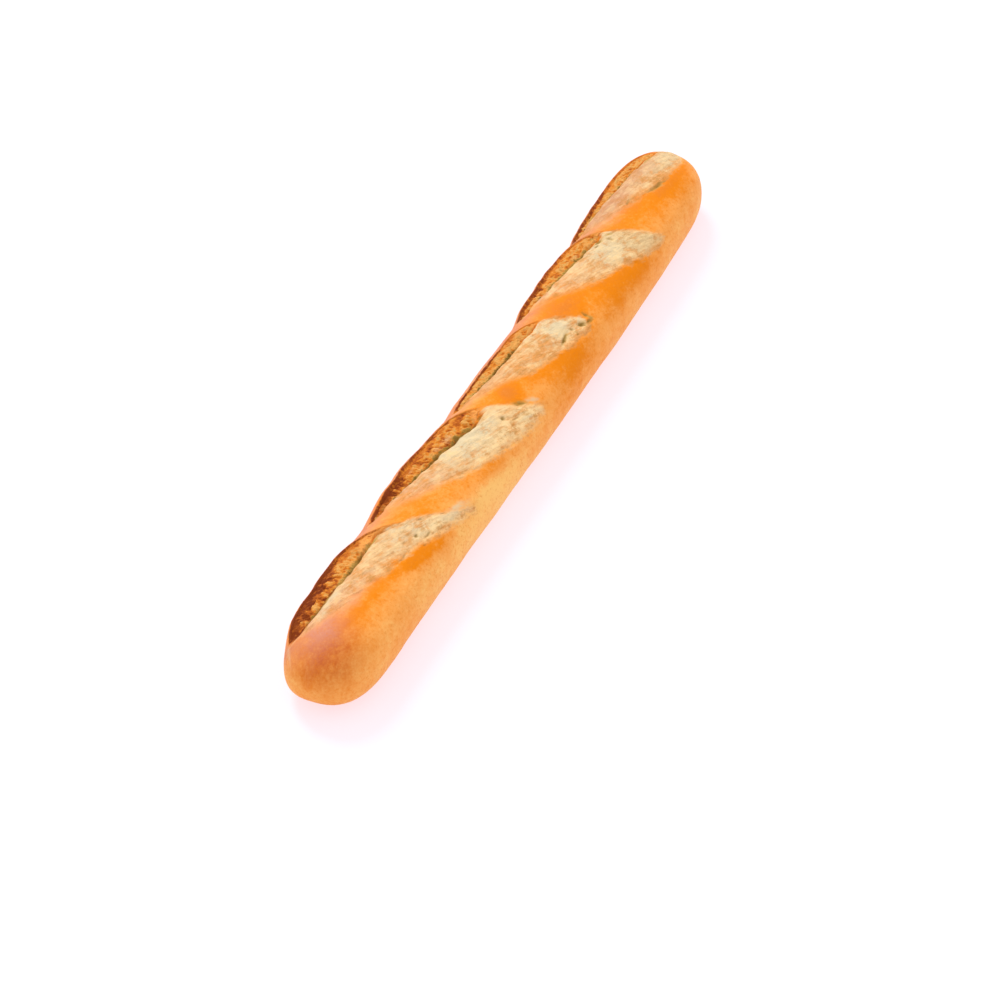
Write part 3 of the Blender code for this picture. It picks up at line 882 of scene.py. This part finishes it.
class Finish:
    """A material as its nodes are made."""

    def __init__(self, name):
        self.material = bpy.data.materials.new(name)
        self.material.use_nodes = True
        self.tree = self.material.node_tree
        self.shader = self.tree.nodes["Principled BSDF"]

    def node(self, kind, settings=None, inputs=None):
        """A new node: its settings first, then the values or links of its sockets."""
        made = self.tree.nodes.new(kind)
        for name, setting in (settings or {}).items():
            setattr(made, name, setting)
        for name, value in (inputs or {}).items():
            self.feed(made.inputs[name], value)
        return made

    def feed(self, socket, value):
        if isinstance(value, Value):
            self.tree.links.new(value.socket, socket)
        elif isinstance(value, bpy.types.NodeSocket):
            self.tree.links.new(value, socket)
        else:
            socket.default_value = value

    def place(self):
        """The point on the piece, in metres."""
        return self.node("ShaderNodeTexCoord").outputs["Object"]

    def lie(self, turn, stretch):
        """The point by x and v, turned from x towards v and stretched, for grain with a direction."""
        lie = self.node("ShaderNodeAttribute", {"attribute_name": "lie"}).outputs["Vector"]
        turned = self.node("ShaderNodeMapping", {}, {"Vector": lie, "Rotation": (0.0, 0.0, -turn)})
        inputs = {0: turned.outputs[0], 1: stretch}
        return self.node("ShaderNodeVectorMath", {"operation": "MULTIPLY"}, inputs).outputs[0]

    def mask(self, name):
        node = self.node("ShaderNodeAttribute", {"attribute_name": name})
        return Value(self, node.outputs["Fac"])

    def grain(self, vector, size, detail, roughness=0.55):
        """Noise from 0 to 1 with lumps about size across."""
        inputs = {"Vector": vector, "Scale": 1.0 / size, "Detail": detail, "Roughness": roughness}
        return Value(self, self.node("ShaderNodeTexNoise", {}, inputs).outputs["Fac"])

    def blend(self, below, above, share):
        """One colour over another, by a share from 0 to 1."""
        node = self.node("ShaderNodeMix", {"data_type": "RGBA"})
        inputs = {"Factor_Float": share, "A_Color": opaque(below), "B_Color": opaque(above)}
        for name, value in inputs.items():
            self.feed(next(s for s in node.inputs if s.identifier == name), value)
        return next(s for s in node.outputs if s.identifier == "Result_Color")

    def layers(self, colour, *coats):
        """A colour under some coats, each of them a colour with its share from 0 to 1."""
        for above, share in coats:
            colour = self.blend(colour, above, share)
        return colour

    def dressed(self, colour, roughness, relief):
        """The material, with this colour, roughness and fine relief."""
        inputs = {"Height": relief, "Distance": RELIEF_DEPTH, "Strength": 1.0}
        normal = self.node("ShaderNodeBump", {}, inputs).outputs["Normal"]
        self.feed(self.shader.inputs["Base Color"], colour)
        self.feed(self.shader.inputs["Roughness"], roughness.held())
        self.feed(self.shader.inputs["Normal"], normal)
        self.shader.inputs["Specular IOR Level"].default_value = GLOSS
        return self.material


def opaque(colour):
    """Plain numbers made opaque. A colour that comes from another node stays as it is."""
    return colour if isinstance(colour, bpy.types.NodeSocket) else (*colour, 1.0)


def crust_finish(look):
    """Baked crust, from straw to brown, with a painted pink sheen behind the slashes and cream bands in
    them.
    """
    finish = Finish("baked crust")
    mask, place = finish.mask, finish.place()
    mottle = finish.grain(place, 0.024, 2.0) - 0.5
    patch = finish.grain(place, 0.0080, 3.0) - 0.5
    speckle = finish.grain(place, 0.0022, 3.0, 0.75) - 0.5
    streak = finish.grain(finish.lie(0.40, (0.35, 1.0, 1.0)), 0.0024, 4.0, 0.7) - 0.5
    hatch = finish.grain(finish.lie(-0.70, (0.40, 1.0, 1.0)), 0.0022, 4.0, 0.7) - 0.5
    flake = finish.grain(finish.lie(0.40, (0.55, 1.0, 1.0)), 0.0040, 4.0, 0.7) - 0.5
    fleck = finish.grain(finish.lie(0.36, (0.22, 1.0, 1.0)), 0.0012, 2.0, 0.6) - 0.5
    dot = finish.grain(place, 0.0016, 2.0, 0.6) - 0.5
    fold = finish.grain(finish.lie(0.32, (0.14, 1.0, 1.0)), 0.0026, 3.0, 0.6) - 0.5
    wrinkle = (0.030 - abs(streak + 0.5 * hatch)).rise(0.0, 0.025)
    vein = (0.022 - abs(hatch + 0.6 * flake)).rise(0.0, 0.020)
    start, baked, faded, crown = mask("start"), mask("baked"), mask("faded"), mask("crown")
    band, rosy_sheen_and_shade, scorch = mask("band"), mask("rosy_sheen_and_shade"), mask("scorch")

    bake = 0.22 + 0.26 * crown + 0.42 * mottle + 0.42 * patch + 0.46 * baked
    bake = bake + 0.16 * mask("under") + 0.26 * mask("ear") - 0.26 * mask("straw")
    bake = bake + 0.55 * speckle + 0.20 * streak + 0.40 * scorch
    browned = mask("near_end") * (1 + 1.2 * patch + 1.0 * speckle)
    # Painted sheen: the rose highlight behind the slashes.
    painted_sheen = mask("painted_sheen") * (0.80 + 1.4 * patch + 1.0 * speckle) * (1 - scorch)
    # Painted sheen: the pinker tone high on the back.
    painted_back_sheen = mask("painted_back_sheen") * (0.80 + 1.6 * patch + 1.2 * speckle) * (1 - scorch)
    crust = finish.layers(
        look.straw,
        (look.gold, bake.rise(-0.10, 0.36)),
        (look.amber, bake.rise(0.24, 0.74)),
        (look.chestnut, bake.rise(0.62, 1.05) * crown),
        (look.brown, (browned * 0.90).held()),
        (look.rose_sheen, painted_sheen.held() * 0.9),
        # Painted sheen and shade: the pinker places.
        (look.flushed_sheen_and_shade, (rosy_sheen_and_shade * (1 + 1.5 * patch)).held() * 0.85),
        (look.chestnut, (dot + 0.5 * streak).rise(0.02, 0.22) * 0.38),
        (look.straw, (hatch - 0.5 * dot).rise(0.02, 0.30) * 0.11),
        (look.russet_sheen, painted_back_sheen.held()),
    )

    took = 0.36 * mask("took") + 0.75 * baked - 0.35 * faded - 0.15 * mask("pale") - 0.4 * mask("grey")
    took = took + 1.8 * patch + 2.0 * flake + 2.4 * streak + 1.6 * hatch
    browner = 0.9 * patch + 0.7 * flake + 0.08 * baked - 0.10 * faded
    cream = finish.layers(
        look.cream,
        # The bands are pinker where they begin; the pinker places add painted sheen and painted shade.
        (look.blush, (start * 0.85 + 0.6 * rosy_sheen_and_shade).held()),
        (look.pale, (mask("pale") * 0.7 + faded + 2.2 * flake + 1.0 * streak).rise(0.0, 1.0)),
        (look.ivory, (mask("low") * (1 + 1.2 * flake)).held()),
        (look.ashen, (mask("grey") * (0.8 + 1.6 * flake)).held()),
        (look.gold, (1 - (band + 0.8 * flake).rise(1.10, 1.85)) * 0.40),
        (look.toasted, took.rise(0.10, 0.85) * 0.72),
        (look.ashen, (hatch + 0.8 * dot).rise(0.04, 0.20) * 0.32),
        (look.toasted, (0.35 * fleck + browner).rise(0.0, 0.20) * 0.36),
        (look.toasted, (fold + 0.5 * patch).rise(0.03, 0.18) * 0.42),
        (look.ivory, (-1 * fold).rise(0.02, 0.15) * 0.35),
        (look.ivory, (-0.5 * fleck - browner).rise(0.0, 0.18) * 0.50),
        (look.crack, (fleck + 0.9 * patch).rise(0.09, 0.18) * 0.22),
        (look.olive_and_fold_shade, vein * (0.40 + 3.0 * patch).held() * 0.62),
    )

    inward = band - 1 + 1.2 * flake + 0.9 * streak + 0.6 * patch - 0.22 * baked
    softness = 0.27 + 0.35 * start
    inside = mask("wall").rise(0.3, 0.8)
    lining = finish.layers(
        look.honey,
        (look.rust_and_hollow_shade, (0.5 + 3.0 * speckle + 2.0 * hatch).held()),
        (look.burnt, (scorch * (1 + 2.6 * speckle + 2.0 * flake)).rise(0.0, 0.8)),
    )
    surface = finish.layers(
        crust,
        (cream, inward.rise(-1 * softness, softness) * (1 - 0.15 * start)),
        (look.pale, (faded * (1 + 1.8 * flake + 1.0 * streak)).rise(0.20, 0.80) * 0.75),
        # Painted shade: the duller places.
        (look.painted_shade, (mask("painted_shade") * (0.8 + 2.0 * flake + 1.0 * streak)).held() * 0.85),
        (lining, inside),
        (look.toasted, (mask("golden") * (0.6 + 2.6 * flake + 1.5 * streak)).held() * 0.5),
        (look.maroon, (mask("rim") * (0.9 + 4.0 * flake + 2.5 * speckle)).rise(0.25, 0.95) * 0.9),
        # Partly painted shade: the dark of the cracks and of the pits.
        (look.crack, (mask("crack") * (1 + 1.8 * flake + 1.0 * streak)).rise(0.20, 0.85)),
        # Partly painted shade in folds and hollows.
        (look.olive_and_fold_shade, (mask("olive_and_fold_shade") * (1 + 2.0 * flake + 1.6 * streak)).rise(0.15, 0.90) * 0.85),
        (look.crack, (mask("pit") * (1 + 1.4 * flake)).rise(0.10, 0.90) * 0.85),
    )

    layered = 1.2 * streak + 0.7 * hatch + 1.3 * flake - 1.4 * fold - 0.5 * fleck
    layered = layered - 0.05 * wrinkle - 0.08 * vein
    relief = 0.20 * finish.grain(place, 0.0009, 2.0, 0.5) + 0.30 * speckle + 0.30 * patch
    rough = 0.46 + 0.24 * mask("cream") + 0.30 * inside + 0.15 * patch
    return finish.dressed(surface, rough, relief + layered * mask("cream"))


def crumb_finish(look):
    """Torn crumb that baked in the open slash: light strands over rust hollows, partly painted highlight and
    painted shade, burnt at the ear.
    """
    finish = Finish("torn crumb")
    mask, place = finish.mask, finish.place()
    patch = finish.grain(place, 0.0046, 3.0, 0.6) - 0.5
    fibre = finish.grain(finish.lie(-0.50, (1.0, 0.32, 1.0)), 0.0014, 4.0, 0.75) - 0.5
    fine = finish.grain(place, 0.0007, 3.0, 0.7) - 0.5
    dot = finish.grain(place, 0.0017, 2.0, 0.6) - 0.5
    charred = mask("charred")

    # Partly painted highlight and shade: strands that stand out are lighter, the hollows between them
    # darker.
    height = 0.34 + 0.50 * mask("down") + 0.80 * mask("strand") - 0.36 * mask("tanned")
    height = height + 2.0 * fibre + 2.9 * patch + 0.3 * dot - 1.12 * charred
    closing = (mask("closing") * (1 + 2.5 * patch + 3.0 * fibre)).rise(0.05, 0.85)
    merging = finish.layers(look.gold, (look.toasted, (0.45 + 3.0 * fibre + 2.5 * patch).held()))
    torn = finish.layers(
        look.burnt,
        (look.rust_and_hollow_shade, height.rise(-0.75, 0.05)),
        (look.honey, height.rise(0.08, 0.46)),
        (look.light, height.rise(0.50, 1.0)),
        (look.rust_and_hollow_shade, (mask("baked") * (1 + 2.5 * fibre + 2.0 * patch)).held() * 0.9),
        (look.olive_and_fold_shade, (patch + 0.7 * fibre).rise(0.05, 0.16) * (1 - charred.held()) * 0.45),
        # Partly painted shade near the crack.
        (look.crack, (mask("sunk") * (1 + 3.0 * fibre + 2.5 * patch)).rise(0.30, 0.95)),
        (merging, closing * 0.92),
        (look.cream, (mask("faded") * (1 + 2.5 * fibre)).rise(0.15, 0.8) * 0.8),
        # Partly painted shade in folds and hollows.
        (look.olive_and_fold_shade, (mask("olive_and_fold_shade") * (1 + 2.0 * fibre + 1.6 * patch)).rise(0.15, 0.90) * 0.85),
    )
    return finish.dressed(torn, 0.65 + 0.3 * fine, 1.2 * fibre + 0.5 * fine)


def floor_finish(studio):
    finish = Finish("floor")
    shade = studio.floor
    inputs = finish.shader.inputs
    inputs["Base Color"].default_value = (shade, shade, shade, 1.0)
    inputs["Roughness"].default_value = FLOOR_ROUGHNESS
    inputs["Specular IOR Level"].default_value = 0.0
    inputs["Emission Color"].default_value = opaque(studio.table_colour)
    inputs["Emission Strength"].default_value = studio.table
    return finish.material


# ---------------------------------------------------------------- operators


def stand(context, name, mesh, material):
    """Puts a piece of the loaf in the scene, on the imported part's body."""
    mesh.materials.append(material)
    piece = bpy.data.objects.new(name, mesh)
    context.scene.collection.objects.link(piece)
    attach(piece, "root")
    return piece


class BAGUETTE_OT_loaf(bpy.types.Operator):
    """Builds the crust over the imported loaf, with its ears, its cracks and its risen bands"""

    bl_idname = "baguette.loaf"
    bl_label = "Loaf"

    def execute(self, context):
        points, masks, lie = crust_points(Plain(context.scene.baguette_loaf))
        mesh = ring_mesh("loaf", fitted(points, points), masks, lie)
        loaf = stand(context, "loaf", mesh, crust_finish(context.scene.baguette_crust))
        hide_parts(NODE)
        return {"FINISHED"}


class BAGUETTE_OT_tears(bpy.types.Operator):
    """Fills the five opened slashes with torn crumb"""

    bl_idname = "baguette.tears"
    bl_label = "Torn crumb"

    def execute(self, context):
        plain = Plain(context.scene.baguette_loaf)
        crust = crust_points(plain)[0]
        finish = crumb_finish(context.scene.baguette_crust)
        for seed, slash in enumerate(SLASHES, 1):
            name = f"tear_{seed}"
            points, masks, lie = tear_points(plain, slash, seed)
            stand(context, name, ring_mesh(name, fitted(points, crust), masks, lie), finish)
        return {"FINISHED"}


def camera_axes(azimuth, elevation):
    """The camera's right, up and back."""
    flat = math.cos(elevation)
    back = Vector((math.sin(azimuth) * flat, -math.cos(azimuth) * flat, math.sin(elevation)))
    right = Vector((math.cos(azimuth), math.sin(azimuth), 0.0))
    return right, back.cross(right), back


class BAGUETTE_OT_studio(bpy.types.Operator):
    """Lays a white floor, hangs soft lights and sets the camera"""

    bl_idname = "baguette.studio"
    bl_label = "Studio"

    def execute(self, context):
        studio = context.scene.baguette_studio
        self.lay_floor(studio)
        self.hang_lights(context, studio)
        self.set_camera(context, studio)
        context.scene.view_settings.view_transform = "Standard"
        return {"FINISHED"}

    def lay_floor(self, studio):
        bpy.ops.mesh.primitive_plane_add(size=FLOOR_SIZE)
        floor = bpy.context.object
        floor.name = "floor"
        floor.data.materials.append(floor_finish(studio))

    def hang_lights(self, context, studio):
        world = bpy.data.worlds.new("studio")
        world.use_nodes = True
        sky = world.node_tree.nodes["Background"]
        sky.inputs["Color"].default_value = (1.0, 1.0, 1.0, 1.0)
        sky.inputs["Strength"].default_value = studio.fill
        context.scene.world = world
        key = bpy.data.lights.new("key", "SUN")
        key.energy = studio.key
        key.angle = studio.key_angle
        lamp = bpy.data.objects.new("key", key)
        lamp.rotation_euler = Vector(KEY_FROM).to_track_quat("Z", "Y").to_euler()
        context.scene.collection.objects.link(lamp)

    def set_camera(self, context, studio):
        right, up, back = camera_axes(studio.azimuth, studio.elevation)
        camera = bpy.data.cameras.new("camera")
        camera.lens = studio.lens
        camera.sensor_width = SENSOR
        camera.clip_end = FAR_CLIP
        tripod = bpy.data.objects.new("camera", camera)
        tripod.matrix_world = Matrix((right, up, back)).transposed().to_4x4()
        tripod.location = back * studio.distance + right * studio.aim_right + up * studio.aim_up
        context.scene.collection.objects.link(tripod)
        context.scene.camera = tripod


class BAGUETTE_PT_panel(bpy.types.Panel):
    """Lists the makers of the pieces and their settings"""

    bl_idname = "BAGUETTE_PT_panel"
    bl_label = "Baguette"
    bl_space_type = "VIEW_3D"
    bl_region_type = "UI"
    bl_category = "Baguette"

    def draw(self, context):
        for step in OPERATORS:
            self.layout.operator(step.bl_idname)
        for name in SETTINGS:
            group = getattr(context.scene, name)
            box = self.layout.box()
            for key in group.__annotations__:
                box.prop(group, key)


SETTINGS = {
    "baguette_loaf": LoafSettings,
    "baguette_crust": CrustSettings,
    "baguette_studio": StudioSettings,
}
OPERATORS = (BAGUETTE_OT_loaf, BAGUETTE_OT_tears, BAGUETTE_OT_studio)
CLASSES = (*SETTINGS.values(), *OPERATORS, BAGUETTE_PT_panel)


def register():
    for item in CLASSES:
        bpy.utils.register_class(item)
    for name, group in SETTINGS.items():
        setattr(bpy.types.Scene, name, PointerProperty(type=group))


def unregister():
    for name in SETTINGS:
        delattr(bpy.types.Scene, name)
    for item in reversed(CLASSES):
        bpy.utils.unregister_class(item)


def main():
    register()
    bpy.ops.baguette.loaf()
    bpy.ops.baguette.tears()
    bpy.ops.baguette.studio()


if __name__ == "__main__":
    main()
